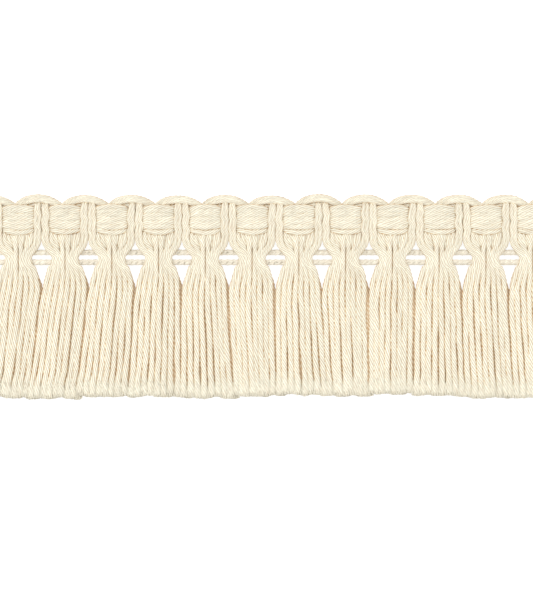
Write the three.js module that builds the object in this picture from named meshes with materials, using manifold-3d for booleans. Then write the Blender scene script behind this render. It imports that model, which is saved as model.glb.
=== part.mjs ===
// A cut length of cotton tassel fringe, lying on its back with its face up.
// Millimetres: +X along the fringe, +Y from the tassel tips to the heading, +Z out of the face.
// While it is built, y = 0 is the waist line of the tassels and z = 0 the surface that it lies on.
import * as THREE from 'three';
import { mergeVertices } from 'three/addons/utils/BufferGeometryUtils.js';
import Module from 'manifold-3d';

const wasm = await Module();
wasm.setup();

// Driving dimensions of the whole fringe
const TASSEL_COUNT = 12;
const PITCH = 17.36;
const HALF_PITCH = PITCH / 2;
const BAND_STUB = 2;
const BAND_HALF_LENGTH = (TASSEL_COUNT * PITCH) / 2 + BAND_STUB;
const GAP = 0.3;
const HALF_GAP = GAP / 2;

// Yarn ends of one tassel: two rows, the back row on the surface and the front row on top of it
const ENDS_PER_ROW = 8;
const END_SPACING = PITCH / ENDS_PER_ROW;
const END_WIDTH = 1.7;
const ROW_SHIFT = 0.25;
const TIP_RAGGEDNESS = 0.45;
const ROWS = [
  { bottom: 0, top: 1.7, crest: 0, shift: -ROW_SHIFT },
  { bottom: 2.0, top: 3.7, crest: 0.9, shift: ROW_SHIFT },
];
const ROOT_Y = -7.5;
const ROOT_SPACING = 1.95;
const WAVE_Y = -28;
const DRIFT_AT_WAVE = 0.38;

// How far the tips stray sideways at each parting between tassels, from the left end to the right
const TIP_DRIFT = [-4.0, -4.4, -3.8, -2.2, 0, 2.2, 0.8, 2.2, 0.6, -0.6, 1.4, 2.4, 2.4];
// Length of each tassel's skirt, from the waist line to its tips, from the left end to the right
const SKIRT_LENGTH = [51.2, 51.6, 51.0, 50.9, 51.4, 50.7, 50.3, 50.8, 49.9, 50.6, 51.4, 51.3];

// Middle yarns, four side by side: behind the header, fanned out below it, then down the waist
const CORE_YARNS = 4;
const CORE = [
  { y: 16.1, half: 3.3, front: 3.0 },
  { y: 9.3, half: 3.3, front: 3.0 },
  { y: 8.8, half: 5.7, front: 3.0 },
  { y: 6.1, half: 5.95, front: 3.7 },
  { y: 2.6, half: 3.0, front: 4.6 },
  { y: 0, half: 2.75, front: 4.7 },
  { y: -3.9, half: 3.3, front: 4.5 },
  { y: -8.0, half: 4.15, front: 4.0 },
];

// A leg is two yarns side by side: in front of the header, then down one side of the waist
const LEG_YARNS = 2;
const LEG_OUTER = HALF_PITCH - HALF_GAP;
const LEG_INNER = 6.1;
const LEG = [
  { y: 18.6, outer: LEG_OUTER, inner: LEG_INNER, back: 2.7, front: 5.4 },
  { y: 6.1, outer: LEG_OUTER, inner: 5.9, back: 2.7, front: 5.4 },
  { y: 2.6, outer: 6.8, inner: 2.85, back: 0, front: 5.0 },
  { y: 0, outer: 5.25, inner: 2.7, back: 0, front: 4.75 },
  { y: -3.9, outer: 6.4, inner: 3.2, back: 0, front: 4.5 },
  { y: -8.0, outer: 8.2, inner: 4.05, back: 0, front: 4.0 },
];
const YARN_GROOVE = 0.5;

// The loop joins the legs to the middle yarns, over the header's top and behind the edge bundle
const LOOP = { low: 17.7, high: 18.5, back: 1.2, front: 4.9, outer: 8.4, inner: 6.25, bevel: 0.5 };
const TONGUE = { low: 15.5, high: 18.2, half: 3.1, front: 1.1 };

// Header band: seven yarns side by side, behind each pair of legs and in front of each middle bundle
const HEADER_YARNS = 7;
const HEADER_GROOVE = 0.4;
const HEADER = [
  { x: -5.75, low: 9.4, high: 16.9, back: 0, front: 2.4 },
  { x: -4.4, low: 9.2, high: 18.4, back: 3.3, front: 5.4 },
  { x: 0, low: 9.1, high: 19.4, back: 3.3, front: 5.6 },
  { x: 4.4, low: 9.2, high: 18.4, back: 3.3, front: 5.4 },
  { x: 5.75, low: 9.4, high: 16.9, back: 0, front: 2.4 },
];

// Edge bundle: three yarns in scallops, high over each pair of legs and low behind each header pad
const EDGE_YARNS = 3;
const EDGE_GROOVE = 0.45;
const EDGE = [
  { x: 0, low: 16.8, high: 20.2, back: 1.5, front: 3.0 },
  { x: 4.4, low: 18.95, high: 22.2, back: 1.5, front: 2.8 },
  { x: HALF_PITCH, low: 19.0, high: 23.3, back: 1.6, front: 4.6 },
  { x: PITCH - 4.4, low: 18.95, high: 22.2, back: 1.5, front: 2.8 },
];

// Chain-stitched cords that run through the waists and show, stitch by stitch, in the spaces between
const CORD_SIDES = 6;
const CORD_Z = 2.3;
const CORD_HEIGHTS = { upper_chain_cord: 1.9, lower_chain_cord: -1.77 };
const STITCH_SPACING = 2.24;
const STITCH_RADIUS = 1.15;
const NIP_RADIUS = 0.85;
const TUNNEL_RADIUS = 1.5;

const COTTON = new THREE.Color(0.92, 0.87, 0.76);
const BAND_COTTON = new THREE.Color(0.94, 0.9, 0.8);

// Closed skin over a row of rings with the same number of points; the end rings are filled
function loft(rings) {
  const sides = rings[0].length;
  const positions = rings.flat().flatMap((point) => [point.x, point.y, point.z]);
  const faces = [];
  for (let ring = 0; ring + 1 < rings.length; ring += 1) {
    for (let side = 0; side < sides; side += 1) {
      const a = ring * sides + side;
      const b = ring * sides + ((side + 1) % sides);
      faces.push([a, b, b + sides], [a, b + sides, a + sides]);
    }
  }
  const lastRing = (rings.length - 1) * sides;
  for (const [a, b, c] of fillRing(rings[0])) faces.push([a, c, b]);
  for (const [a, b, c] of fillRing(rings.at(-1))) faces.push([lastRing + a, lastRing + b, lastRing + c]);
  const geometry = new THREE.BufferGeometry();
  geometry.setAttribute('position', new THREE.Float32BufferAttribute(positions, 3));
  geometry.setIndex(faces.flat());
  return facingOut(geometry);
}

// Triangles across a flat ring that stands square to X or to Y, wound as the ring is
function fillRing(ring) {
  const acrossX = ring.every((point) => point.x === ring[0].x);
  const flat = ring.map((point) => new THREE.Vector2(acrossX ? point.y : point.x, point.z));
  const triangles = THREE.ShapeUtils.triangulateShape(flat, []);
  const turned = THREE.ShapeUtils.area(flat) < 0;
  return triangles.map(([a, b, c]) => (orientation(flat, a, b, c) < 0 === turned ? [a, b, c] : [a, c, b]));
}

function orientation(flat, a, b, c) {
  const ab = flat[b].clone().sub(flat[a]);
  const ac = flat[c].clone().sub(flat[a]);
  return ab.cross(ac);
}

// Turns every triangle over when the skin encloses its space inside out
function facingOut(geometry) {
  const position = geometry.getAttribute('position');
  const index = geometry.getIndex().array;
  const corners = [new THREE.Vector3(), new THREE.Vector3(), new THREE.Vector3()];
  let volume = 0;
  for (let face = 0; face < index.length; face += 3) {
    corners.forEach((corner, k) => corner.fromBufferAttribute(position, index[face + k]));
    volume += corners[0].dot(corners[1].clone().cross(corners[2]));
  }
  if (volume < 0) {
    for (let face = 0; face < index.length; face += 3) {
      [index[face + 1], index[face + 2]] = [index[face + 2], index[face + 1]];
    }
  }
  return geometry;
}

// Section of a flat bundle: a plain back, and a front raised into one ridge for each yarn
function ridgedSection(low, high, back, front, yarns, groove) {
  const step = (high - low) / yarns;
  const points = [[low, back], [high, back], [high, front - groove]];
  for (let yarn = yarns - 1; yarn >= 0; yarn -= 1) {
    points.push([low + (yarn + 0.5) * step, front]);
    points.push([low + yarn * step, front - groove]);
  }
  return points;
}

function ringAcrossY(section, y) {
  return section.map(([x, z]) => new THREE.Vector3(x, y, z));
}

function ringAcrossX(section, x) {
  return section.map(([y, z]) => new THREE.Vector3(x, y, z));
}

function toSolid(geometry) {
  const bare = geometry.clone();
  bare.deleteAttribute('normal');
  bare.deleteAttribute('uv');
  const merged = mergeVertices(bare);
  return new wasm.Manifold(new wasm.Mesh({
    numProp: 3,
    vertProperties: new Float32Array(merged.getAttribute('position').array),
    triVerts: new Uint32Array(merged.getIndex().array),
  }));
}

function toGeometry(solid) {
  const mesh = solid.getMesh();
  const geometry = new THREE.BufferGeometry();
  geometry.setAttribute('position', new THREE.Float32BufferAttribute(mesh.vertProperties, 3));
  geometry.setIndex(Array.from(mesh.triVerts));
  return geometry;
}

// Sideways drift of the tips at a place along the fringe, straight between the partings
function tipDrift(x) {
  const place = THREE.MathUtils.clamp(x / PITCH + TASSEL_COUNT / 2, 0, TASSEL_COUNT);
  const parting = Math.min(Math.floor(place), TASSEL_COUNT - 1);
  return THREE.MathUtils.lerp(TIP_DRIFT[parting], TIP_DRIFT[parting + 1], place - parting);
}

// Section of one yarn end: flat below, with a crest above that is a ridge or a narrow flat
function endSection(x, row) {
  const base = [[x - END_WIDTH / 2, row.bottom], [x + END_WIDTH / 2, row.bottom]];
  if (row.crest === 0) return [...base, [x, row.top]];
  return [...base, [x + row.crest / 2, row.top], [x - row.crest / 2, row.top]];
}

// One hanging yarn end, from its root inside the waist to its tip
function yarnEnd(centre, skirtLength, row, end) {
  const place = end - (ENDS_PER_ROW - 1) / 2;
  const restX = place * END_SPACING + row.shift;
  const drift = tipDrift(centre + restX);
  const ragged = TIP_RAGGEDNESS * Math.sin(centre + 5 * end + 2 * row.top);
  return loft([
    ringAcrossY(endSection(place * ROOT_SPACING, row), ROOT_Y),
    ringAcrossY(endSection(restX + drift * DRIFT_AT_WAVE, row), WAVE_Y),
    ringAcrossY(endSection(restX + drift, row), ragged - skirtLength),
  ]);
}

function core() {
  return loft(CORE.map(({ y, half, front }) => (
    ringAcrossY(ridgedSection(-half, half, 0, front, CORE_YARNS, YARN_GROOVE), y))));
}

function leg(side) {
  return loft(LEG.map(({ y, outer, inner, back, front }) => {
    const section = ridgedSection(inner, outer, back, front, LEG_YARNS, YARN_GROOVE);
    return ringAcrossY(section.map(([x, z]) => [side * x, z]), y);
  }));
}

function tongue() {
  const { low, high, half, front } = TONGUE;
  const section = [[-half, 0], [half, 0], [half, front], [-half, front]];
  return loft([ringAcrossY(section, high), ringAcrossY(section, low)]);
}

// The loop is one flat bar behind everything, turned up at both ends into the legs
function headLoop() {
  const { low, high, back, front, outer, inner, bevel } = LOOP;
  const outline = new THREE.Shape([
    new THREE.Vector2(bevel - outer, 0),
    new THREE.Vector2(outer - bevel, 0),
    new THREE.Vector2(outer, bevel),
    new THREE.Vector2(outer, front),
    new THREE.Vector2(inner, front),
    new THREE.Vector2(inner, back),
    new THREE.Vector2(-inner, back),
    new THREE.Vector2(-inner, front),
    new THREE.Vector2(-outer, front),
    new THREE.Vector2(-outer, bevel),
  ]);
  const bar = new THREE.ExtrudeGeometry(outline, { depth: high - low, bevelEnabled: false });
  bar.rotateX(Math.PI / 2);
  bar.translate(0, high, 0);
  return bar;
}

function cordSection(y, radius) {
  const points = [];
  for (let side = 0; side < CORD_SIDES; side += 1) {
    const angle = (side / CORD_SIDES) * 2 * Math.PI;
    points.push([y + radius * Math.cos(angle), CORD_Z + radius * Math.sin(angle)]);
  }
  return points;
}

function tunnel(y) {
  const ends = [-HALF_PITCH, HALF_PITCH];
  return loft(ends.map((x) => ringAcrossX(cordSection(y, TUNNEL_RADIUS), x)));
}

// A tassel: legs, middle yarns and loop above, one waist, and two rows of yarn ends below
function tassel(index) {
  const centre = (index - (TASSEL_COUNT - 1) / 2) * PITCH;
  const pieces = [core(), leg(1), leg(-1), headLoop(), tongue()];
  for (const row of ROWS) {
    for (let end = 0; end < ENDS_PER_ROW; end += 1) {
      pieces.push(yarnEnd(centre, SKIRT_LENGTH[index], row, end));
    }
  }
  let solid = toSolid(pieces[0]);
  for (const piece of pieces.slice(1)) solid = solid.add(toSolid(piece));
  for (const y of Object.values(CORD_HEIGHTS)) solid = solid.subtract(toSolid(tunnel(y)));
  const mesh = namedMesh(`tassel_${String(index + 1).padStart(2, '0')}`, toGeometry(solid), COTTON);
  mesh.position.x = centre;
  return mesh;
}

// Rings of a band whose sections repeat once for each tassel, with a plain cut past the last one
function bandRings(stations, makeRing) {
  const shown = [];
  for (let index = -1; index <= TASSEL_COUNT; index += 1) {
    const centre = (index - (TASSEL_COUNT - 1) / 2) * PITCH;
    for (const station of stations) shown.push({ ...station, x: centre + station.x });
  }
  const kept = shown.filter((station) => Math.abs(station.x) < BAND_HALF_LENGTH - GAP);
  const cutEnds = [{ ...kept[0], x: -BAND_HALF_LENGTH }, { ...kept.at(-1), x: BAND_HALF_LENGTH }];
  return [cutEnds[0], ...kept, cutEnds[1]].map(makeRing);
}

function ridgedBand(stations, yarns, groove) {
  return loft(bandRings(stations, ({ x, low, high, back, front }) => (
    ringAcrossX(ridgedSection(low, high, back, front, yarns, groove), x))));
}

// Three raised stitches between each two waists, and a straight run through each waist
function chainCord(y) {
  const stations = [];
  for (let half = -2; half <= 2; half += 1) {
    const radius = half % 2 === 0 ? STITCH_RADIUS : NIP_RADIUS;
    stations.push({ x: HALF_PITCH + (half * STITCH_SPACING) / 2, radius });
  }
  return loft(bandRings(stations, ({ x, radius }) => ringAcrossX(cordSection(y, radius), x)));
}

function namedMesh(name, geometry, colour) {
  const material = new THREE.MeshStandardMaterial({ color: colour, roughness: 0.95, metalness: 0 });
  const mesh = new THREE.Mesh(geometry, material);
  mesh.name = name;
  return mesh;
}

const fringe = new THREE.Group();
for (let index = 0; index < TASSEL_COUNT; index += 1) fringe.add(tassel(index));
fringe.add(namedMesh('header_band', ridgedBand(HEADER, HEADER_YARNS, HEADER_GROOVE), BAND_COTTON));
fringe.add(namedMesh('edge_bundle', ridgedBand(EDGE, EDGE_YARNS, EDGE_GROOVE), BAND_COTTON));
for (const [name, y] of Object.entries(CORD_HEIGHTS)) fringe.add(namedMesh(name, chainCord(y), BAND_COTTON));

// The origin is at the middle of the underside of the whole fringe
const extent = new THREE.Box3().setFromObject(fringe);
const middle = extent.getCenter(new THREE.Vector3());
fringe.position.set(-middle.x, -middle.y, -extent.min.z);

export default fringe;
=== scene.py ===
"""Looks of a cut length of cotton tassel fringe that lies on its back with its face up."""
import math
import random

import bpy
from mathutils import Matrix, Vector


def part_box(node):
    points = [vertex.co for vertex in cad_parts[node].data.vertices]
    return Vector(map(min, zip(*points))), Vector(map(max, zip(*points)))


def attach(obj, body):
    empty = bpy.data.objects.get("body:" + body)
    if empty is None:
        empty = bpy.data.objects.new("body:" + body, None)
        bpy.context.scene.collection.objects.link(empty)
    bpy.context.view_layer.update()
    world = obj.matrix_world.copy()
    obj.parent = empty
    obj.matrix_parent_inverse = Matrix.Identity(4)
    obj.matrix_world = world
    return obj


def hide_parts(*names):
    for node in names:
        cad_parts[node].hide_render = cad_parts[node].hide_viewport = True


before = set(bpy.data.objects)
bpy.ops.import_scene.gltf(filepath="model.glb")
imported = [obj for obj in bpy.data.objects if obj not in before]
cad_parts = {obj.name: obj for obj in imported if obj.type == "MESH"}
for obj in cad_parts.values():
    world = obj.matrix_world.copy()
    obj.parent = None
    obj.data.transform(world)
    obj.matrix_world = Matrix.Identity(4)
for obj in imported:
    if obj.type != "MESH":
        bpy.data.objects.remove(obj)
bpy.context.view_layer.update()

MM = 0.001

# The fringe's own sizes in millimetres, as in the solids
TASSELS = 12
PITCH = 17.36
HALF_PITCH = PITCH / 2
BAND_HALF_LENGTH = TASSELS * PITCH / 2 + 2
UPPER_CORD_Y = 1.9
LOWER_CORD_Y = -1.77
CORD_Z = 2.3

# Places are measured from the middle of the fringe, its waist line and the surface below it
cord_low, cord_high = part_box("upper_chain_cord")
MIDDLE_X = (cord_low.x + cord_high.x) / 2 / MM
WAIST_Y = (cord_low.y + cord_high.y) / 2 / MM - UPPER_CORD_Y

# Yarn: singles laid together, one turn in each lay, which is longer here and shorter there
SINGLES = 7
BAND_SINGLES = 8
LAY = 12.6
BAND_LAY = 13.5
THREAD_LAY = 4.0
CORE_LAY = 6.0
LAY_RANGE = (0.9, 1.12)
UNEVEN_LAY = 0.2
UNEVEN_LENGTH = 4
GROOVE_DEPTH = 0.34
# Points of a yarn's ring for each single
RING_POINTS = 3
# A yarn's marks fade from the first of these distances before its cut to the second, down to a share
FADE_LENGTH = 9.0
FADED_LENGTH = 1.0
FADED_SHARE = 0.35
# How far apart the rings of a yarn's skin stand: usually, from the skirt's top up, and in the skirt
RING_STEP = 1.0
WAIST_RING_STEP = 0.65
SKIRT_RING_STEP = 1.35
# How far below the waist line the skirt starts, and how near to that a station counts as there
SKIRT_TOP = 9.0
NEARLY = 0.1

# How far the tips stray sideways at each parting between tassels, from the left end to the right
TIP_DRIFT = [-4.0, -4.6, -4.2, -2.4, 0, 2.6, 0.4, 2.6, 0.4, -0.8, 1.8, 2.6, 2.4]
# Length of each skirt, from the waist line to the cut tips, from the left end to the right
SKIRT_LENGTH = [52.0, 52.4, 51.7, 51.7, 52.2, 51.5, 51.1, 51.5, 50.7, 51.3, 52.2, 52.2]
# How much higher or lower than usual each scallop of the edge bundle stands
SCALLOP_LIFT = [0, 0.2, 0.1, 0.1, -0.1, 0, -0.3, 0.35, 0.25, 0.1, 0, 0.1, 0]


def ramp(value, start, end):
    """Nothing at start and before it, one at end and past it, and a straight way between them."""
    return min(1, max(0, (value - start) / (end - start)))


def wander(rng, most):
    """A small step to either side."""
    return rng.uniform(-most, most)


def tassel_x(index):
    """Centre line of a tassel, counted from the left end."""
    return (index - (TASSELS - 1) / 2) * PITCH


def parting_x(index):
    """Middle of the space on the left of a tassel, counted from the left end."""
    return (index - TASSELS / 2) * PITCH


def tip_drift(x):
    """How far a tip strays that would hang at x."""
    place = min(max(x / PITCH + TASSELS / 2, 0), TASSELS)
    parting = min(int(place), TASSELS - 1)
    share = place - parting
    return TIP_DRIFT[parting] * (1 - share) + TIP_DRIFT[parting + 1] * share


def smooth_line(stations, step=RING_STEP):
    """Points about one step apart on a smooth line through stations of x, y, z and radius."""
    line = []
    last = len(stations) - 1
    for index in range(last):
        before = stations[max(index - 1, 0)]
        here = stations[index]
        there = stations[index + 1]
        after = stations[min(index + 2, last)]
        length = math.dist(here[:3], there[:3])
        high, low = max(here[1], there[1]), min(here[1], there[1])
        if high < NEARLY - SKIRT_TOP:
            step_here = SKIRT_RING_STEP
        elif step == RING_STEP and low > -NEARLY - SKIRT_TOP:
            step_here = WAIST_RING_STEP
        else:
            step_here = step
        count = max(1, round(length / step_here))
        for part in range(count):
            t = part / count
            line.append([
                0.5 * (2 * b + (c - a) * t + (2 * a - 5 * b + 4 * c - d) * t * t
                       + (3 * b - a - 3 * c + d) * t ** 3)
                for a, b, c, d in zip(before, here, there, after)])
    line.append(list(stations[last]))
    return line


def raised(line, flatness, centre=0):
    """A line moved to its centre, and so high that pressing it flat brings it to its own height."""
    return [[x + centre, y, z / flatness, radius] for x, y, z, radius in line]


def yarn_curve(name, lines, seed, lay=LAY, closed=False):
    """A curve object with one twisted spline for each line of x, y, z and radius in millimetres."""
    rng = random.Random(seed)
    curve = bpy.data.curves.new(name, "CURVE")
    curve.dimensions = "3D"
    for line in lines:
        spline = curve.splines.new("POLY")
        spline.points.add(len(line) - 1)
        spline.use_cyclic_u = closed
        turned = rng.uniform(0, 2 * math.pi)
        own_lay = lay * rng.uniform(*LAY_RANGE)
        wave = rng.uniform(0, 2 * math.pi)
        travelled = 0
        previous = line[0]
        for point, (x, y, z, radius) in zip(spline.points, line):
            length = math.dist(previous[:3], (x, y, z))
            travelled += length
            uneven = 1 + UNEVEN_LAY * math.sin(travelled / UNEVEN_LENGTH + wave)
            turned -= length * 2 * math.pi / own_lay * uneven
            previous = (x, y, z)
            point.co = ((MIDDLE_X + x) * MM, (WAIST_Y + y) * MM, z * MM, 1)
            point.radius = radius * MM
            point.tilt = turned
    yarn = bpy.data.objects.new(name, curve)
    bpy.context.scene.collection.objects.link(yarn)
    return yarn


def fill(tree, node, inputs):
    """Gives each input of a node, by its name or number, a plain value or another node's output."""
    for name, value in dict(inputs).items():
        if isinstance(value, bpy.types.NodeSocket):
            tree.links.new(value, node.inputs[name])
        else:
            node.inputs[name].default_value = value
    return node


def add_node(tree, kind, inputs=(), **settings):
    """A new node with its settings and then its inputs."""
    node = tree.nodes.new(kind)
    for name, value in settings.items():
        setattr(node, name, value)
    return fill(tree, node, inputs)


def math_node(tree, operation, *values, clamp=False):
    """The result of a sum or the like of plain numbers and other nodes' outputs."""
    node = add_node(tree, "ShaderNodeMath", enumerate(values), operation=operation, use_clamp=clamp)
    return node.outputs["Value"]


def vector_node(tree, operation, inputs):
    """The result of a sum or the like of vectors."""
    return add_node(tree, "ShaderNodeVectorMath", inputs, operation=operation).outputs["Vector"]


def map_node(tree, value, low, high, start=0, end=1):
    """A value that goes from start to end as another goes from low to high."""
    node = add_node(tree, "ShaderNodeMapRange", {
        "Value": value, "From Min": low, "From Max": high, "To Min": start, "To Max": end})
    return node.outputs["Result"]


def keep(tree, geometry, name, value, data_type="FLOAT", domain="POINT"):
    """The geometry with a mark of that name stored on it."""
    node = add_node(tree, "GeometryNodeStoreNamedAttribute",
                    {"Geometry": geometry, "Name": name, "Value": value}, data_type=data_type, domain=domain)
    return node.outputs["Geometry"]


def kept(tree, name, data_type="FLOAT"):
    """A mark that was stored under that name."""
    node = add_node(tree, "GeometryNodeInputNamedAttribute", {"Name": name}, data_type=data_type)
    return node.outputs["Attribute"]


def own_tone(tree, number, variety, seed=0):
    """A tone of its own for each number, spread about one half between the node's inputs 2 and 3."""
    node = add_node(tree, "FunctionNodeRandomValue", {
        2: 0.5 - variety / 2, 3: 0.5 + variety / 2, "ID": number, "Seed": seed})
    return node.outputs[1]


def marked_splines(tree, splines, variety):
    """Each spline with its tone, the distance along it, its fading ends and its middle line as marks."""
    number = add_node(tree, "GeometryNodeInputIndex").outputs["Index"]
    along = add_node(tree, "GeometryNodeSplineParameter").outputs["Length"]
    length = add_node(tree, "GeometryNodeSplineLength").outputs["Length"]
    to_end = math_node(tree, "MINIMUM", along, math_node(tree, "SUBTRACT", length, along))
    fading = map_node(tree, to_end, FADED_LENGTH * MM, FADE_LENGTH * MM, FADED_SHARE, 1)
    place = add_node(tree, "GeometryNodeInputPosition").outputs["Position"]
    splines = keep(tree, splines, "tone", own_tone(tree, number, variety), domain="CURVE")
    splines = keep(tree, splines, "along", along)
    splines = keep(tree, splines, "fade", fading)
    return keep(tree, splines, "spine", place, "FLOAT_VECTOR")


def grooved_ring(tree, singles, groove_depth, variety, painted_groove_shade, evenly):
    """A ring whose every third point is drawn in and marked for painted shade, so that the singles stand
    out.
    """
    circle = add_node(tree, "GeometryNodeCurvePrimitiveCircle", {
        "Resolution": RING_POINTS * singles, "Radius": 1})
    number = add_node(tree, "GeometryNodeInputIndex").outputs["Index"]
    sunk = math_node(tree, "LESS_THAN", math_node(tree, "MODULO", number, RING_POINTS), 0.5)
    # Groove points get painted shade, and evenly darkens every point alike
    dark = math_node(tree, "MULTIPLY_ADD", sunk, painted_groove_shade, evenly)
    single = math_node(tree, "FLOOR", math_node(tree, "DIVIDE", number, RING_POINTS))
    place = add_node(tree, "GeometryNodeInputPosition").outputs["Position"]
    ring = keep(tree, circle.outputs["Curve"], "groove", dark)
    ring = keep(tree, ring, "single", own_tone(tree, single, variety, seed=5))
    ring = keep(tree, ring, "around", place, "FLOAT_VECTOR")
    draw_in = math_node(tree, "MULTIPLY_ADD", sunk, -groove_depth, 1)
    drawn = vector_node(tree, "SCALE", {0: place, "Scale": draw_in})
    grooved = add_node(tree, "GeometryNodeSetPosition", {"Geometry": ring, "Position": drawn})
    return grooved.outputs["Geometry"]


def marked_sides(tree, skin):
    """The skin with a mark for how far each point is round its side, where the next yarn touches it, for the
    cotton's painted shade there.
    """
    place = add_node(tree, "GeometryNodeInputPosition").outputs["Position"]
    outward = vector_node(tree, "SUBTRACT", {0: place, 1: kept(tree, "spine", "FLOAT_VECTOR")})
    direction = vector_node(tree, "NORMALIZE", {0: outward})
    split = add_node(tree, "ShaderNodeSeparateXYZ", {"Vector": direction})
    sideways = math_node(tree, "SUBTRACT", 1, math_node(tree, "ABSOLUTE", split.outputs["Z"]))
    side = math_node(tree, "MULTIPLY", sideways, kept(tree, "fade"))
    skin = keep(tree, skin, "side", side)
    finished = add_node(tree, "GeometryNodeRemoveAttribute", {"Geometry": skin, "Name": "spine"})
    return finished.outputs["Geometry"]


def spinning_group(name, singles, groove_depth, variety, painted_groove_shade, evenly=0.0):
    """Geometry nodes that lay a grooved skin of singles along each spline, with its own marks."""
    tree = bpy.data.node_groups.new(name, "GeometryNodeTree")
    tree.interface.new_socket("Geometry", in_out="INPUT", socket_type="NodeSocketGeometry")
    tree.interface.new_socket("Geometry", in_out="OUTPUT", socket_type="NodeSocketGeometry")
    incoming = add_node(tree, "NodeGroupInput")
    radius = add_node(tree, "GeometryNodeInputRadius").outputs["Radius"]
    skin = add_node(tree, "GeometryNodeCurveToMesh", {
        "Curve": marked_splines(tree, incoming.outputs["Geometry"], variety),
        "Profile Curve": grooved_ring(tree, singles, groove_depth, variety, painted_groove_shade, evenly),
        "Scale": radius,
        "Fill Caps": True,
    })
    marked = marked_sides(tree, skin.outputs["Mesh"])
    smooth = add_node(tree, "GeometryNodeSetShadeSmooth", {"Geometry": marked})
    add_node(tree, "NodeGroupOutput", {"Geometry": smooth.outputs["Geometry"]})
    return tree


def spin(yarn, group, flatness=1.0):
    """Turns a yarn curve into its mesh, pressed flat if flatness is under 1."""
    modifier = yarn.modifiers.new("spin", "NODES")
    modifier.node_group = group
    bpy.ops.object.select_all(action="DESELECT")
    yarn.select_set(True)
    bpy.context.view_layer.objects.active = yarn
    bpy.ops.object.convert(target="MESH")
    piece = bpy.context.object
    if flatness != 1.0:
        piece.scale = (1, 1, flatness)
        bpy.ops.object.transform_apply(location=False, rotation=False, scale=True)
    return piece


def join(pieces, name):
    """One piece from several."""
    bpy.ops.object.select_all(action="DESELECT")
    for piece in pieces:
        piece.select_set(True)
    bpy.context.view_layer.objects.active = pieces[0]
    bpy.ops.object.join()
    pieces[0].name = name
    pieces[0].data.name = name
    return pieces[0]


YARN_SPINNING = spinning_group(
    "tassel yarn", singles=SINGLES, groove_depth=GROOVE_DEPTH, variety=1.0, painted_groove_shade=1.0)
BAND_SPINNING = spinning_group(
    "heading yarn", singles=BAND_SINGLES, groove_depth=GROOVE_DEPTH, variety=1.0, painted_groove_shade=1.0)
THREAD_SPINNING = spinning_group(
    "binder thread", singles=4, groove_depth=0.16, variety=0.5, painted_groove_shade=1.0)
SINGLE_SPINNING = spinning_group(
    "frayed single", singles=1, groove_depth=0.1, variety=0.4, painted_groove_shade=0.2, evenly=0.2)


# The rows of yarn ends in a skirt: y, height of the middle of the yarn, its radius and its spacing
ROWS = {
    "front": [
        (0.5, 3.45, 0.93, 1.09),
        (-0.6, 3.45, 0.93, 1.08),
        (-2.8, 3.4, 0.95, 1.16),
        (-3.9, 3.3, 0.96, 1.5),
        (-5.4, 3.2, 0.99, 1.68),
        (-6.9, 3.1, 1.02, 1.84),
        (-9.0, 3.05, 1.05, 2.0),
        (-12.0, 3.0, 1.15, 2.13),
    ],
    "back": [
        (0.5, 1.45, 0.9, 1.06),
        (-0.6, 1.55, 0.9, 1.05),
        (-2.8, 1.5, 0.93, 1.15),
        (-3.9, 1.45, 0.95, 1.42),
        (-5.4, 1.4, 0.99, 1.62),
        (-6.9, 1.3, 1.03, 1.78),
        (-9.0, 1.25, 1.08, 1.95),
        (-12.0, 1.25, 1.14, 2.11),
    ],
}
# The place of the outermost yarn end of a row, counted from the middle
OUTERMOST = 3.5
# The yarn ends at rest in the skirt, the way from one of their stations to the next, and how flat the
# whole tassel is pressed
SKIRT_SPACING = 2.17
SKIRT_RADIUS = 1.21
SKIRT_HEIGHT = {"front": 2.9, "back": 1.32}
SKIRT_STEP = 6.2
SKIRT_FLATNESS = 0.8
# How far each half of a waist stands off its seam, and the heights between which that comes in
SEAM = {"front": 0.36, "back": 0}
SEAM_CLOSES = (-6.5, -2.5)
# How far each row of a skirt shifts, so that the front yarns hang between the back ones, and the depths
# below the waist line between which that comes in
ROW_SHIFT = {"front": -0.5, "back": 0.5}
SHIFT_DEPTHS = (7, 14)
# Length over which a yarn end frays
FRAY = 7.5
# How much lower the outermost yarns of a tassel's front lie than its middle ones, how far they draw
# together, how much of that they open again by the tips, and the depths between which this comes in
BELL_FALL = 0.4
BELL_CLOSING = 0.25
BELL_OPENING = 0.7
BELL_DEPTHS = (6, 12)
# How unevenly the yarn ends are cut: in slow lobes over a tassel, and each for itself
LOBE_DEPTH = 0.28
CUT_WANDER = 0.2
# Each wave of those lobes: how fast it turns from end to end and from tassel to tassel, and its share
LOBES = [(1.7, 2.3, 1), (0.9, 4.1, 0.6)]
# How far a yarn end strays: in the stations below the waist, more and more between two depths, where it
# comes to rest, in its lean, and then sideways and in height at each station
LOOSE_WANDER = 0.2
LOOSE_DEPTHS = (0, 14)
REST_WANDER = 0.14
LEAN = 0.4
BEND = 0.19
LIFT = 0.25
HEIGHT_RANGE = {"front": (-0.2, 0.25), "back": (-0.1, 0.15)}
THICKNESS_RANGE = (0.93, 1.06)
# Over 1, a yarn end sways little at first and more further down
SWAY_POWER = 1.2
# Where an end starts to fray: its share of the drift, of the frayed length and of its height
FRAY_START = (0.93, 0.8, 0.95)


def cut_lobe(index, place):
    """The slow rise and fall of the cut over a tassel."""
    return sum(share * math.sin(place * across + index * along) for across, along, share in LOBES)


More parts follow.
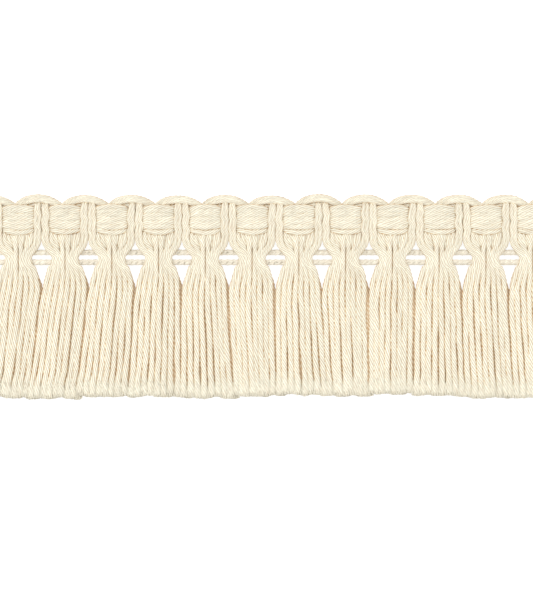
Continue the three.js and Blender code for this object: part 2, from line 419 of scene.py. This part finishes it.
def skirt_stations(index, row, place, rng):
    """From the waist down to the cut, for a place counted from the middle; also the cut's depth."""
    length = SKIRT_LENGTH[index] + LOBE_DEPTH * cut_lobe(index, place) + wander(rng, CUT_WANDER)
    stations = []
    bell = (place / OUTERMOST) ** 2 if row == "front" else 0
    closing = math.copysign(BELL_CLOSING, place) * bell ** 2
    for y, z, radius, spacing in ROWS[row]:
        seam = math.copysign(SEAM[row], place) * ramp(y, *SEAM_CLOSES)
        shift = ROW_SHIFT[row] * ramp(-y, *SHIFT_DEPTHS)
        below = ramp(-y, *BELL_DEPTHS)
        loose = LOOSE_WANDER * ramp(-y, *LOOSE_DEPTHS)
        x = place * spacing + seam + shift - closing * below + wander(rng, loose)
        stations.append([x, y, z - BELL_FALL * bell * below, radius])
    rest_x = place * SKIRT_SPACING + ROW_SHIFT[row] - closing + wander(rng, REST_WANDER)
    drift = tip_drift(tassel_x(index) + rest_x)
    height = SKIRT_HEIGHT[row] - BELL_FALL * bell + rng.uniform(*HEIGHT_RANGE[row])
    sway = drift + wander(rng, LEAN)
    depth = SKIRT_STEP - ROWS[row][-1][0]
    while depth < length - FRAY:
        share = ((depth - SKIRT_TOP) / (length - SKIRT_TOP)) ** SWAY_POWER
        x = rest_x + sway * share + closing * BELL_OPENING * share + wander(rng, BEND)
        z = height + wander(rng, LIFT)
        stations.append([x, -depth, z, SKIRT_RADIUS * rng.uniform(*THICKNESS_RANGE)])
        depth += SKIRT_STEP
    drift_share, fray_share, height_share = FRAY_START
    x = rest_x + sway * drift_share + closing * BELL_OPENING
    stations.append([x, FRAY * fray_share - length, height * height_share, SKIRT_RADIUS])
    return stations, length


# A leg yarn, up from the waist: x, y, height in the front layer and in the back layer, and radius
OUTER_LEG = [
    (4.95, 1.5, 3.65, 1.4, 0.9),
    (6.1, 2.9, 3.9, 1.75, 0.84),
    (7.32, 4.5, 4.25, 2.7, 0.8),
    (7.88, 6.3, 4.45, 3.0, 0.78),
    (7.88, 8.2, 4.55, 3.15, 0.8),
    (7.88, 10.0, 4.6, 3.2, 0.8),
    (7.88, 11.8, 4.65, 3.25, 0.82),
    (7.88, 13.6, 4.66, 3.25, 0.82),
    (7.88, 15.4, 4.65, 3.2, 0.82),
    (7.88, 17.2, 4.6, 3.2, 0.8),
]
INNER_LEG = [
    (3.6, 1.5, 3.65, 1.4, 0.9),
    (4.7, 2.9, 3.9, 1.75, 0.84),
    (5.9, 4.5, 4.25, 2.7, 0.8),
    (6.55, 6.5, 4.45, 3.0, 0.78),
    (6.6, 8.2, 4.55, 3.15, 0.8),
    (6.6, 10.0, 4.6, 3.2, 0.8),
    (6.6, 11.8, 4.65, 3.25, 0.82),
    (6.6, 13.6, 4.66, 3.25, 0.82),
    (6.6, 15.4, 4.65, 3.2, 0.82),
    (6.6, 17.2, 4.6, 3.2, 0.8),
]
# The waves of the legs: how far, how fast up the leg, how far on from one parting to the next, and the
# heights of none and of the full waves below and above
LEG_WAVE = 0.26
LEG_WAVE_TURN = 1.2
LEG_WAVE_STEP = 2.1
LEG_WAVE_STARTS = (6, 9)
LEG_WAVE_ENDS = (19.2, 16.2)
# The height from which the legs stand clear of the waist, and how far the back yarns stand in below it
LEG_CLEAR_Y = 9
BACK_LEG_INSET = 0.35
# How far a leg yarn strays: in its lean, sideways, in height, and over the header's top
LEG_LEAN = 0.06
LEG_BEND = 0.1
LEG_LIFT = 0.08
TOP_WANDER = 0.2
# Over the header's top and behind the edge bundle: share of the leg's x, y and z for each layer
FRONT_TURN = [(1.0, 18.9, 4.4), (0.99, 19.9, 3.4), (0.96, 20.1, 2.0), (0.85, 19.5, 0.95), (0.55, 18.2, 0.85)]
BACK_TURN = [(1.0, 17.4, 3.0), (1.0, 18.1, 1.9), (0.92, 18.1, 0.9), (0.6, 17.6, 0.9)]
TURN_RADIUS = 0.74
# How far the inner leg yarns draw towards the outer ones over the top, between which heights, and down
# to which share of the leg's x
ROUNDED_TOP = 0.4
ROUNDED_HEIGHTS = (17.8, 19.8)
ROUNDED_SHARE = 0.9

# A middle yarn on the left: its row and place in the waist, and its x behind the header, below it,
# above the waist and at the waist
MIDDLE_YARNS = [
    ("front", 1.5, (2.3, 5.15, 4.8, 3.0)),
    ("back", 1.5, (2.3, 3.7, 3.4, 2.2)),
    ("back", 0.5, (0.8, 2.2, 1.6, 0.75)),
    ("front", 0.5, (0.8, 0.74, 0.84, 0.99)),
]
# Its way down: y, which x of the four above and the share of the next one, height in the front row
# and in the back row, and radius
MIDDLE_WAY = [
    (16.2, 0, 0.0, 2.1, 0.85, 0.74),
    (12.4, 0, 0.2, 2.2, 0.95, 0.74),
    (9.6, 1, 0.0, 3.1, 2.7, 0.84),
    (8.2, 1, 0.2, 4.05, 3.7, 0.94),
    (6.0, 2, 0.0, 4.1, 3.75, 0.98),
    (4.4, 2, 0.5, 3.95, 3.35, 0.95),
    (2.9, 3, 0.0, 3.75, 2.35, 0.92),
]
MIDDLE_WANDER = 0.1
# The row and place in the waist of each leg yarn, in the order of the middle yarns they go on to
LEG_SLOTS = [("back", 3.5), ("front", 3.5), ("back", 2.5), ("front", 2.5)]


def leg_stations(index, side, row, place, rng):
    """From just above the waist up the leg and over the header."""
    outer = place == OUTERMOST
    stations = []
    lean = wander(rng, LEG_LEAN)
    parting = index + (side > 0)
    for x, y, front, back, radius in (OUTER_LEG if outer else INNER_LEG):
        z = front if row == "front" else back
        sway = lean + wander(rng, LEG_BEND) if y > LEG_CLEAR_Y else 0
        wave = LEG_WAVE * math.sin(LEG_WAVE_TURN * y + LEG_WAVE_STEP * parting)
        sway += side * wave * min(ramp(y, *LEG_WAVE_STARTS), ramp(y, *LEG_WAVE_ENDS))
        sway -= BACK_LEG_INSET if row == "back" and y < LEG_CLEAR_Y else 0
        stations.append([side * (x + sway), y, z + wander(rng, LEG_LIFT), radius])
    top_x = stations[-1][0]
    rise = wander(rng, TOP_WANDER)
    rounding = 0 if outer else side * ROUNDED_TOP
    for share, y, z in (FRONT_TURN if row == "front" else BACK_TURN):
        outward = rounding * ramp(y, *ROUNDED_HEIGHTS) if share > ROUNDED_SHARE else 0
        stations.append([top_x * share + outward, y + rise, z, TURN_RADIUS])
    return stations


def middle_stations(side, row, columns, rng):
    """From behind the edge bundle down to just above the waist."""
    stations = []
    for y, column, share, front, back, radius in MIDDLE_WAY:
        after = columns[min(column + 1, len(columns) - 1)]
        x = columns[column] * (1 - share) + after * share + wander(rng, MIDDLE_WANDER)
        z = front if row == "front" else back
        stations.append([side * x, y, z + wander(rng, MIDDLE_WANDER), radius])
    return stations


# The singles of a frayed end: how many, how far they spread sideways and in depth, how fast, and the
# share of the yarn's own radius that they start from
FRAYED_SINGLES = 22
FRAYED_SPREAD = 2.0
FRAYED_DEPTH = 0.85
SPREAD_POWER = 0.65
START_SHARE = 0.8
# A frayed single on its way down to the cut: share of the way, and radius
FRAYED_WAY = ((0, 0.2), (0.35, 0.3), (0.7, 0.32), (1, 0.28))
# How far it turns on the way, how far it starts from the yarn's last station and ends from the cut, how
# far the cut rounds up towards its edges, and how low the single may lie
FRAYED_TURN = 0.6
START_RANGE = (-2.8, 0.6)
TIP_RANGE = (-0.15, 0.12)
ROUNDED_CUT = 0.5
LOWEST_SINGLE = 0.4
# Past the last station an end leans on by this share of its last step
TIP_LEAN = 0.5
# How the yarn itself ends between its singles: share of the lean, height over the cut, share of the
# radius it opens to
OPEN_END = ((0.4, 2.6, 1.0), (0.6, 1.5, 0.95), (0.7, 0.6, 0.5))
OPEN_RADIUS = 1.35
# From one single to the next round the end, so that they fill it evenly
GOLDEN_ANGLE = 2.4
TASSEL_SEED = 100


def frayed_singles(end, length, lean, rng):
    """The singles that come loose where a yarn end is untwisted, level with the cut."""
    x, y, z, radius = end
    lines = []
    start = rng.uniform(0, 2 * math.pi)
    for number in range(FRAYED_SINGLES):
        reach = math.sqrt((number + 0.5) / FRAYED_SINGLES)
        angle = start + number * GOLDEN_ANGLE
        rounded = ROUNDED_CUT * reach * reach * math.cos(angle - FRAYED_TURN) ** 2
        tip_y = -length + rounded + rng.uniform(*TIP_RANGE)
        top_y = y + rng.uniform(*START_RANGE)
        line = []
        for share, size in FRAYED_WAY:
            turn = angle - FRAYED_TURN * share
            spread = share ** SPREAD_POWER
            wide = START_SHARE * radius * (1 - spread) + FRAYED_SPREAD * spread
            deep = START_SHARE * radius * (1 - spread) + FRAYED_DEPTH * spread
            line.append([
                x + lean * share + reach * wide * math.cos(turn),
                top_y * (1 - share) + tip_y * share,
                max(LOWEST_SINGLE, z + reach * deep * math.sin(turn)),
                size,
            ])
        lines.append(line)
    return lines


def tassel(index):
    """Eight yarns folded over the header: legs, waist and sixteen ends, with their frayed tips."""
    rng = random.Random(TASSEL_SEED + index)
    yarns = []
    singles = []

    def end_of_yarn(row, place):
        """From the waist to the cut, with the singles that come loose there."""
        stations, length = skirt_stations(index, row, place, rng)
        lean = TIP_LEAN * (stations[-1][0] - stations[-2][0])
        singles.extend(frayed_singles(stations[-1], length, lean, rng))
        x, _, z, _ = stations[-1]
        for share, height, radius in OPEN_END:
            stations.append([x + lean * share, height - length, z, OPEN_RADIUS * radius])
        return stations

    for side in (-1, 1):
        for (leg_row, leg_place), (row, place, columns) in zip(LEG_SLOTS, MIDDLE_YARNS):
            leg_end = end_of_yarn(leg_row, side * leg_place)
            leg = leg_stations(index, side, leg_row, leg_place, rng)
            middle = middle_stations(side, row, columns, rng)
            middle_end = end_of_yarn(row, side * place)
            yarns.append(leg_end[::-1] + leg + middle + middle_end)

    name = f"yarns_{index + 1:02d}"
    body_lines = [smooth_line(raised(line, SKIRT_FLATNESS, tassel_x(index))) for line in yarns]
    tip_lines = [raised(line, SKIRT_FLATNESS, tassel_x(index)) for line in singles]
    body = spin(yarn_curve(name, body_lines, seed=index), YARN_SPINNING, SKIRT_FLATNESS)
    tips = spin(yarn_curve(name + "_tips", tip_lines, seed=index), SINGLE_SPINNING, SKIRT_FLATNESS)
    piece = join([body, tips], name)
    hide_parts(f"tassel_{index + 1:02d}")
    return piece


# Header yarns over one tassel: x, how much of their full spread they keep, and height; behind the
# legs on either side they have no spread of their own
PAD = [
    (-6.2, None, None),
    (-5.65, 0.81, 3.0),
    (-4.9, 0.89, 4.25),
    (-2.4, 1.0, 4.7),
    (0, 1.03, 4.8),
    (2.4, 1.0, 4.7),
    (4.9, 0.89, 4.25),
    (5.65, 0.81, 3.0),
    (6.2, None, None),
]
PAD_YARNS = 7
PAD_HALF_WIDTH = 6
PAD_MIDDLE_Y = 14.15
PAD_SPACING = 1.46
PAD_RADIUS = 1.16
PAD_THICKNESS_RANGE = (0.93, 1.05)
PAD_WANDER = 0.12
PAD_BOW = 0.14
# The lowest yarn of a pad hangs slack and lies lower
SLACK_RANGE = (0.2, 0.45)
SLACK_FALL = 0.35
# Behind the legs, with every second yarn nearer to the front
BEHIND_MIDDLE_Y = 13.8
BEHIND_SPACING = 1.25
BEHIND_Z = (0.85, 1.4)
BEHIND_RISE = 0.2
BEHIND_RADIUS = 0.78
TUCKED_RADIUS = 0.75
PAD_RING_STEP = 1.15
BAND_FLATNESS = 0.7
HEADER_SEED = 31


def pad_stations(index, number, behind, rng):
    """One header yarn over one tassel, from behind the legs on its left to behind those on its right."""
    across = number - (PAD_YARNS - 1) / 2
    behind_y, behind_z = behind
    bow = wander(rng, PAD_BOW)
    fall = 0
    if number == 0:
        bow -= rng.uniform(*SLACK_RANGE)
        fall = SLACK_FALL
    stations = []
    for x, spread, height in PAD:
        if spread is None:
            stations.append([tassel_x(index) + x, behind_y, behind_z + BEHIND_RISE, TUCKED_RADIUS])
            continue
        y = PAD_MIDDLE_Y + across * PAD_SPACING * spread + bow * (1 - (x / PAD_HALF_WIDTH) ** 2)
        y += wander(rng, PAD_WANDER)
        radius = PAD_RADIUS * rng.uniform(*PAD_THICKNESS_RANGE)
        z = height - fall + wander(rng, PAD_WANDER)
        stations.append([tassel_x(index) + x, y, z, radius])
    return stations


def header_yarns():
    """Seven yarns side by side that weave behind the legs and in front of the middle bundles."""
    rng = random.Random(HEADER_SEED)
    lines = []
    for number in range(PAD_YARNS):
        across = number - (PAD_YARNS - 1) / 2
        behind = (BEHIND_MIDDLE_Y + across * BEHIND_SPACING, BEHIND_Z[number % 2])
        stations = [[-BAND_HALF_LENGTH, *behind, BEHIND_RADIUS]]
        for index in range(TASSELS):
            stations.extend(pad_stations(index, number, behind, rng))
            if index + 1 < TASSELS:
                stations.append([parting_x(index + 1), *behind, BEHIND_RADIUS])
        stations.append([BAND_HALF_LENGTH, *behind, BEHIND_RADIUS])
        lines.append(smooth_line(raised(stations, BAND_FLATNESS), PAD_RING_STEP))
    yarn = yarn_curve("header_yarns", lines, seed=HEADER_SEED, lay=BAND_LAY)
    piece = spin(yarn, BAND_SPINNING, BAND_FLATNESS)
    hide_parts("header_band")
    return piece


# Edge yarns from one valley to the next: share of the pitch, y of each of the three yarns, height
SCALLOP = [
    (0.0, (18.0, 18.6, 19.25), 2.3),
    (0.06, (18.6, 19.3, 20.1), 2.4),
    (0.13, (19.3, 20.1, 20.95), 2.6),
    (0.23, (20.1, 20.9, 21.7), 3.1),
    (0.38, (20.75, 21.5, 22.2), 3.7),
    (0.53, (20.9, 21.6, 22.3), 3.85),
    (0.69, (20.5, 21.2, 21.9), 3.6),
    (0.84, (19.3, 20.1, 20.85), 2.8),
    (0.94, (18.4, 19.1, 19.8), 2.3),
]
# How far to the right of the middle of its tassel each valley stands
VALLEY_SHIFT = -1.2
EDGE_YARNS = 3
EDGE_RADIUS = 0.84
# Stations nearer than this to an end of the fringe are left out
EDGE_MARGIN = 0.4
EDGE_RING_STEP = 1.2
# How much lower the second layer lies, how far down it sits, with more for its lowest yarn, and how low
# any edge yarn may lie
EDGE_LAYER = 0.8
EDGE_DROP = 0.95
LOWEST_DROP = 1.6
LOWEST_EDGE_Z = 0.8
# How far an edge yarn strays in a scallop, and in height at each station
EDGE_WANDER = 0.12
EDGE_LIFT = 0.08
EDGE_SEED = 47


def scallop_stations(number, layer, rng):
    """One edge yarn of one layer, from one end of the fringe to the other."""
    drop = layer * (EDGE_DROP if number else LOWEST_DROP)
    stations = []
    for index in range(-1, TASSELS):
        rise = SCALLOP_LIFT[index + 1] + wander(rng, EDGE_WANDER)
        for share, heights, height in SCALLOP:
            x = tassel_x(index) + VALLEY_SHIFT + share * PITCH
            if abs(x) > BAND_HALF_LENGTH - EDGE_MARGIN:
                continue
            y = heights[number] + rise * math.sin(share * math.pi) - drop
            z = max(LOWEST_EDGE_Z, height - layer * EDGE_LAYER) + wander(rng, EDGE_LIFT)
            stations.append([x, y, z, EDGE_RADIUS])
    first = [-BAND_HALF_LENGTH] + stations[0][1:]
    last = [BAND_HALF_LENGTH] + stations[-1][1:]
    return [first] + stations + [last]


def edge_yarns():
    """Yarns in scallops, high over the legs and tucked behind the pads."""
    rng = random.Random(EDGE_SEED)
    lines = []
    for number in range(EDGE_YARNS):
        for layer in (0, 1):
            stations = raised(scallop_stations(number, layer, rng), BAND_FLATNESS)
            lines.append(smooth_line(stations, EDGE_RING_STEP))
    yarn = yarn_curve("edge_yarns", lines, seed=EDGE_SEED, lay=BAND_LAY)
    piece = spin(yarn, BAND_SPINNING, BAND_FLATNESS)
    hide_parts("edge_bundle")
    return piece


STITCH_SPACING = 2.24
# The middle of the first stitch, in stitches from the end of the cord
FIRST_STITCH = 0.6
STITCH_HALF_LENGTH = 1.6
STITCH_HALF_WIDTH = 0.74
STITCH_LENGTH_RANGE = (0.96, 1.04)
STITCH_WIDTH_RANGE = (0.93, 1.07)
STITCH_POINTS = 14
# A stitch narrows to this share of its width at its head, which stands higher than its foot
STITCH_HEAD = 0.55
STITCH_RISE = 0.3
STITCH_LIFT = 0.1
THREAD_RADIUS = 0.55
CORE_RADIUS = 0.85
CORE_RING_STEP = 1.5


def stitch(x, cord_y, rng):
    """One loop of thread, with its narrow head towards the next stitch."""
    half_length = STITCH_HALF_LENGTH * rng.uniform(*STITCH_LENGTH_RANGE)
    half_width = STITCH_HALF_WIDTH * rng.uniform(*STITCH_WIDTH_RANGE)
    loop = []
    for part in range(STITCH_POINTS):
        angle = part * 2 * math.pi / STITCH_POINTS
        width = STITCH_HEAD + (1 - STITCH_HEAD) * math.sin(angle / 2) ** 2
        loop.append([
            x + half_length * math.cos(angle),
            cord_y + half_width * math.sin(angle) * width,
            CORD_Z + STITCH_RISE * math.cos(angle) + STITCH_LIFT,
            THREAD_RADIUS,
        ])
    return loop


def chain_cord(name, node, cord_y, seed):
    """A chain of stitches: each is a loop that comes up through the head of the one before."""
    rng = random.Random(seed)
    count = int(2 * BAND_HALF_LENGTH / STITCH_SPACING)
    loops = [stitch(-BAND_HALF_LENGTH + (number + FIRST_STITCH) * STITCH_SPACING, cord_y, rng)
             for number in range(count)]
    stitches = spin(yarn_curve(name, loops, seed=seed, lay=THREAD_LAY, closed=True), THREAD_SPINNING)
    ends = [[x, cord_y, CORD_Z, CORE_RADIUS] for x in (-BAND_HALF_LENGTH, BAND_HALF_LENGTH)]
    core_line = smooth_line(ends, CORE_RING_STEP)
    core = spin(yarn_curve(name + "_core", [core_line], seed=seed, lay=CORE_LAY), THREAD_SPINNING)
    piece = join([stitches, core], name)
    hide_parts(node)
    return piece


# The scales of the cotton's noises: of the fibres round a yarn and round a thread, along them and from
# one yarn to the next, of the slow unevenness, and of the breaks in the lines
FIBRE_SCALE = 3.2
THREAD_FIBRE_SCALE = 2
FIBRE_STRETCH = 350
FIBRE_OFFSET = 57
UNEVEN_SCALE = 160
BROKEN_SCALE = 420
# How much the unevenness adds to the fibres' noise, from where to where the sum goes from full shade
# to none, how dark that shade is, and how dark the loose fibres at the ends are
UNEVEN_SHARE = 0.2
FIBRE_RANGE = (0.38, 0.8)
FIBRE_SHADE = 0.32
LOOSE_SHADE = 0.24
# Painted shade where yarns touch, as dark lines and warm sides: how much noise breaks the lines, from where
# to where round its side a yarn gets them, the share of them above the skirt, and the painted warm tint of
# the sides
BROKEN_SHARE = 0.5
LINE_RANGE = (0.78, 0.97)
WARM_RANGE = (0.28, 0.6)
HEADING_LINES = 0.55
PAINTED_SHADE_TINT = (1.04, 0.82, 0.56, 1)
# Painted shade of the skirt's inside and of the waists' seams
PAINTED_INSIDE_SHADE = 0.55
PAINTED_SEAM_SHADE = 0.6
# How much a yarn's tone counts beside those of its singles, and the brightness of the lowest tone and
# of the highest
YARN_TONE = 0.4
BRIGHTNESS_RANGE = (0.8, 1.1)
# Between the fibres and on top of them
ROUGHNESS_RANGE = (0.98, 0.82)
BUMP_STRENGTH = 0.5
BUMP_DEPTH = 0.12
# Where the skirt, the painted shade of its inside and that of the waists' seams are: their middle, how far
# from it they are full, and how far from it they end; a seam's x is measured from the nearest parting
# between tassels
SKIRT_RANGE_Y = (WAIST_Y - 27.5, 18, 22)
SKIRT_RANGE_X = (MIDDLE_X, 99.5, 102.5)
INSIDE_RANGE_Z = (2.05, 0.42, 0.8)
SEAM_RANGE_X = (HALF_PITCH, 0.05, 0.36)
SEAM_RANGE_Y = (WAIST_Y + 0.2, 4.0, 6.6)
SEAM_RANGE_Z = (2.4, 1.35, 1.65)


def mark(tree, name, output="Fac"):
    """A mark that the spinning left on the yarns."""
    return add_node(tree, "ShaderNodeAttribute", attribute_name=name).outputs[output]


def noise(tree, place, scale=1, detail=1, roughness=0.5):
    """Uneven values at a place."""
    node = add_node(tree, "ShaderNodeTexNoise", {
        "Vector": place, "Scale": scale, "Detail": detail, "Roughness": roughness})
    return node.outputs["Fac"]


def mixed(tree, share, first, second, blend_type="MIX"):
    """A mix of two colours, which are the node's inputs 6 and 7, and its output 2."""
    node = add_node(tree, "ShaderNodeMix", {"Factor": share, 6: first, 7: second},
                    data_type="RGBA", blend_type=blend_type)
    return node.outputs[2]


def within(tree, value, middle, near, far, most=1):
    """Most where a coordinate is nearer to the middle than near, and nothing past far, in millimetres."""
    distance = math_node(tree, "ABSOLUTE", math_node(tree, "SUBTRACT", value, middle * MM))
    return map_node(tree, distance, far * MM, near * MM, 0, most)


def fibre_noise(tree, scale):
    """The fibres' noise, drawn out along the yarn, because they run along its singles."""
    across = vector_node(tree, "SCALE", {0: mark(tree, "around", "Vector"), "Scale": scale})
    along = math_node(tree, "MULTIPLY", mark(tree, "along"), FIBRE_STRETCH)
    height = math_node(tree, "MULTIPLY_ADD", mark(tree, "tone"), FIBRE_OFFSET, along)
    upward = add_node(tree, "ShaderNodeCombineXYZ", {"Z": height}).outputs["Vector"]
    return noise(tree, vector_node(tree, "ADD", {0: across, 1: upward}), detail=3, roughness=0.6)


def fibre_shade(tree, fibres, place, painted_groove_strength):
    """Shade between the fibres, painted shade in the grooves between the singles, and shade in the loose
    fibres of the ends.
    """
    uneven = noise(tree, place, UNEVEN_SCALE, detail=2)
    between = math_node(tree, "MULTIPLY_ADD", uneven, UNEVEN_SHARE, fibres)
    shade = map_node(tree, between, *FIBRE_RANGE, FIBRE_SHADE, 0)
    fade = mark(tree, "fade")
    # Painted shade in the grooves between the singles, faded towards the ends
    groove = math_node(tree, "MULTIPLY", mark(tree, "groove"), fade)
    sunk = math_node(tree, "MULTIPLY", groove, painted_groove_strength)
    loose = math_node(tree, "MULTIPLY_ADD", fade, -LOOSE_SHADE, LOOSE_SHADE)
    return math_node(tree, "ADD", math_node(tree, "ADD", shade, loose), sunk)


def painted_side_shade(tree, place, axes, painted_side_strength):
    """Painted shade: broken dark lines where yarns touch and inside the skirt, and the warmer sides that go
    with them.
    """
    skirt = math_node(tree, "MULTIPLY", within(tree, axes["Y"], *SKIRT_RANGE_Y),
                      within(tree, axes["X"], *SKIRT_RANGE_X))
    everywhere = math_node(tree, "MULTIPLY_ADD", skirt, 1 - HEADING_LINES, HEADING_LINES)
    strength = math_node(tree, "MULTIPLY", everywhere, painted_side_strength)
    # Painted shade between the skirt's two rows of yarn
    inside = math_node(tree, "MULTIPLY", within(tree, axes["Z"], *INSIDE_RANGE_Z, PAINTED_INSIDE_SHADE), skirt)
    side = mark(tree, "side")
    broken = math_node(tree, "MULTIPLY_ADD", noise(tree, place, BROKEN_SCALE), BROKEN_SHARE, side)
    painted_crevice = map_node(tree, broken, *LINE_RANGE)
    flank = map_node(tree, side, *WARM_RANGE)
    lines = math_node(tree, "MULTIPLY", math_node(tree, "MAXIMUM", inside, painted_crevice), strength)
    painted_warmth = math_node(tree, "MULTIPLY", math_node(tree, "MAXIMUM", inside, flank), strength)
    return lines, painted_warmth


def painted_seam_shade(tree, axes):
    """Painted shade along the seam down the middle of each waist, deep between its two halves."""
    from_middle = math_node(tree, "SUBTRACT", axes["X"], MIDDLE_X * MM)
    from_parting = math_node(tree, "PINGPONG", from_middle, HALF_PITCH * MM)
    seam = within(tree, from_parting, *SEAM_RANGE_X, PAINTED_SEAM_SHADE)
    deep = math_node(tree, "MULTIPLY", seam, within(tree, axes["Z"], *SEAM_RANGE_Z))
    return math_node(tree, "MULTIPLY", deep, within(tree, axes["Y"], *SEAM_RANGE_Y))


def cotton_group():
    """Colour, roughness and normal of loosely spun cotton, from the marks that the spinning leaves, with
    shade painted into its grooves, where yarns touch, inside the skirt and along the waists' seams.
    """
    tree = bpy.data.node_groups.new("cotton fibre", "ShaderNodeTree")
    for name, kind in (("Light", "Color"), ("Shade", "Color"), ("Painted groove strength", "Float"),
                       ("Painted side strength", "Float"), ("Fibre scale", "Float")):
        tree.interface.new_socket(name, in_out="INPUT", socket_type="NodeSocket" + kind)
    for name, kind in (("Colour", "Color"), ("Roughness", "Float"), ("Normal", "Vector")):
        tree.interface.new_socket(name, in_out="OUTPUT", socket_type="NodeSocket" + kind)
    given = add_node(tree, "NodeGroupInput").outputs
    place = add_node(tree, "ShaderNodeTexCoord").outputs["Object"]
    axes = add_node(tree, "ShaderNodeSeparateXYZ", {"Vector": place}).outputs

    fibres = fibre_noise(tree, given["Fibre scale"])
    marks = fibre_shade(tree, fibres, place, given["Painted groove strength"])
    lines, painted_warmth = painted_side_shade(tree, place, axes, given["Painted side strength"])
    lines = math_node(tree, "MAXIMUM", lines, painted_seam_shade(tree, axes))
    shade = math_node(tree, "ADD", marks, lines, clamp=True)
    colour = mixed(tree, shade, given["Light"], given["Shade"])
    # Painted warm shade on the sides where yarns touch
    colour = mixed(tree, painted_warmth, colour, PAINTED_SHADE_TINT, "MULTIPLY")
    tones = math_node(tree, "MULTIPLY_ADD", mark(tree, "tone"), YARN_TONE, mark(tree, "single"))
    brightness = map_node(tree, tones, 0, 1 + YARN_TONE, *BRIGHTNESS_RANGE)
    toned = add_node(tree, "ShaderNodeHueSaturation", {"Value": brightness, "Color": colour})
    bump = add_node(tree, "ShaderNodeBump", {
        "Strength": BUMP_STRENGTH, "Distance": BUMP_DEPTH * MM, "Height": fibres})
    add_node(tree, "NodeGroupOutput", {
        "Colour": toned.outputs["Color"],
        "Roughness": map_node(tree, fibres, 0, 1, *ROUGHNESS_RANGE),
        "Normal": bump.outputs["Normal"],
    })
    return tree


COTTON = cotton_group()


def cotton_material(name, light, shade, painted_groove_strength, painted_side_strength, fibre_scale):
    """Cotton of one colour and spinning, with the soft sheen of its fibres."""
    material = bpy.data.materials.new(name)
    material.use_nodes = True
    tree = material.node_tree
    cotton = add_node(tree, "ShaderNodeGroup", {
        "Light": (*light, 1),
        "Shade": (*shade, 1),
        "Painted groove strength": painted_groove_strength,
        "Painted side strength": painted_side_strength,
        "Fibre scale": fibre_scale,
    }, node_tree=COTTON)
    fill(tree, tree.nodes["Principled BSDF"], {
        "Base Color": cotton.outputs["Colour"],
        "Roughness": cotton.outputs["Roughness"],
        "Normal": cotton.outputs["Normal"],
        "Specular IOR Level": 0.2,
        "Sheen Weight": 0.45,
        "Sheen Roughness": 0.35,
        "Sheen Tint": (1.0, 0.93, 0.8, 1),
    })
    return material


# Shade is the colour of the fibres' darker tone and of the painted shade in grooves, where yarns touch and
# along the seams
SKIRT_COTTON = cotton_material(
    "skirt cotton", light=(0.897, 0.902, 0.775), shade=(0.52, 0.38, 0.24),
    painted_groove_strength=0.85, painted_side_strength=0.7, fibre_scale=FIBRE_SCALE)
BAND_COTTON = cotton_material(
    "heading cotton", light=(0.872, 0.865, 0.735), shade=(0.47, 0.33, 0.20),
    painted_groove_strength=0.66, painted_side_strength=1.15, fibre_scale=FIBRE_SCALE)
THREAD_COTTON = cotton_material(
    "binder cotton", light=(0.89, 0.86, 0.74), shade=(0.54, 0.43, 0.31),
    painted_groove_strength=0.5, painted_side_strength=0.15, fibre_scale=THREAD_FIBRE_SCALE)


def finish_piece(piece, material):
    """Gives a piece its cotton and its body."""
    piece.data.materials.clear()
    piece.data.materials.append(material)
    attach(piece, "root")


def floor():
    """A plain pale table top that glows a little, so that it stays white round the fringe."""
    bpy.ops.mesh.primitive_plane_add(size=4, location=(0, 0, 0))
    ground = bpy.context.object
    ground.name = "floor"
    material = bpy.data.materials.new("white table")
    material.use_nodes = True
    fill(material.node_tree, material.node_tree.nodes["Principled BSDF"], {
        "Base Color": (0.3, 0.3, 0.3, 1),
        "Roughness": 0.9,
        "Specular IOR Level": 0,
        "Emission Color": (1, 1, 1, 1),
        "Emission Strength": 0.8,
    })
    ground.data.materials.append(material)


# The photograph's frame, in its pixels: its size, the fringe's middle and its waist line
IMAGE_WIDTH = 533
IMAGE_HEIGHT = 596
FRINGE_MIDDLE_PX = 275.5
WAIST_PX = 257.5
MM_PER_PX = 0.3717
# The camera, and the height above the surface at which its frame is the photograph's
LENS = 100
SENSOR = 36
FRAMED_Z = 3


def camera():
    """Straight above, so far off that the photograph's frame fits at the height of the front yarns."""
    view_height = IMAGE_HEIGHT * MM_PER_PX
    x = MIDDLE_X + (IMAGE_WIDTH / 2 - FRINGE_MIDDLE_PX) * MM_PER_PX
    y = WAIST_Y - (IMAGE_HEIGHT / 2 - WAIST_PX) * MM_PER_PX
    distance = view_height * LENS / SENSOR + FRAMED_Z
    bpy.ops.object.camera_add(location=(x * MM, y * MM, distance * MM), rotation=(0, 0, 0))
    eye = bpy.context.object
    eye.name = "camera"
    eye.data.lens = LENS
    eye.data.sensor_width = SENSOR
    eye.data.sensor_fit = "AUTO"
    eye.data.clip_start = 0.01
    bpy.context.scene.camera = eye


def lamp(name, place, spread, power):
    """A soft lamp far off in the direction of place, aimed at the fringe."""
    bpy.ops.object.light_add(type="SUN", location=place)
    light = bpy.context.object
    light.name = name
    light.data.angle = math.radians(spread)
    light.data.energy = power
    light.rotation_euler = Vector(place).to_track_quat("Z", "Y").to_euler()


def studio():
    """Soft light from all round, from above and from the upper left."""
    world = bpy.data.worlds.new("studio")
    world.use_nodes = True
    fill(world.node_tree, world.node_tree.nodes["Background"], {"Color": (1, 1, 1, 1), "Strength": 0.8})
    bpy.context.scene.world = world
    lamp("overhead", (0.02, 0.05, 1), spread=30, power=1.35)
    lamp("key", (-0.6, 0.5, 0.8), spread=20, power=0.7)
    bpy.context.scene.view_settings.view_transform = "Standard"


bpy.ops.object.select_all(action="DESELECT")
camera()
studio()
floor()
for index in range(TASSELS):
    finish_piece(tassel(index), SKIRT_COTTON)
finish_piece(header_yarns(), BAND_COTTON)
finish_piece(edge_yarns(), BAND_COTTON)
upper_cord = chain_cord("upper_chain", "upper_chain_cord", UPPER_CORD_Y, seed=61)
finish_piece(upper_cord, THREAD_COTTON)
lower_cord = chain_cord("lower_chain", "lower_chain_cord", LOWER_CORD_Y, seed=62)
finish_piece(lower_cord, THREAD_COTTON)
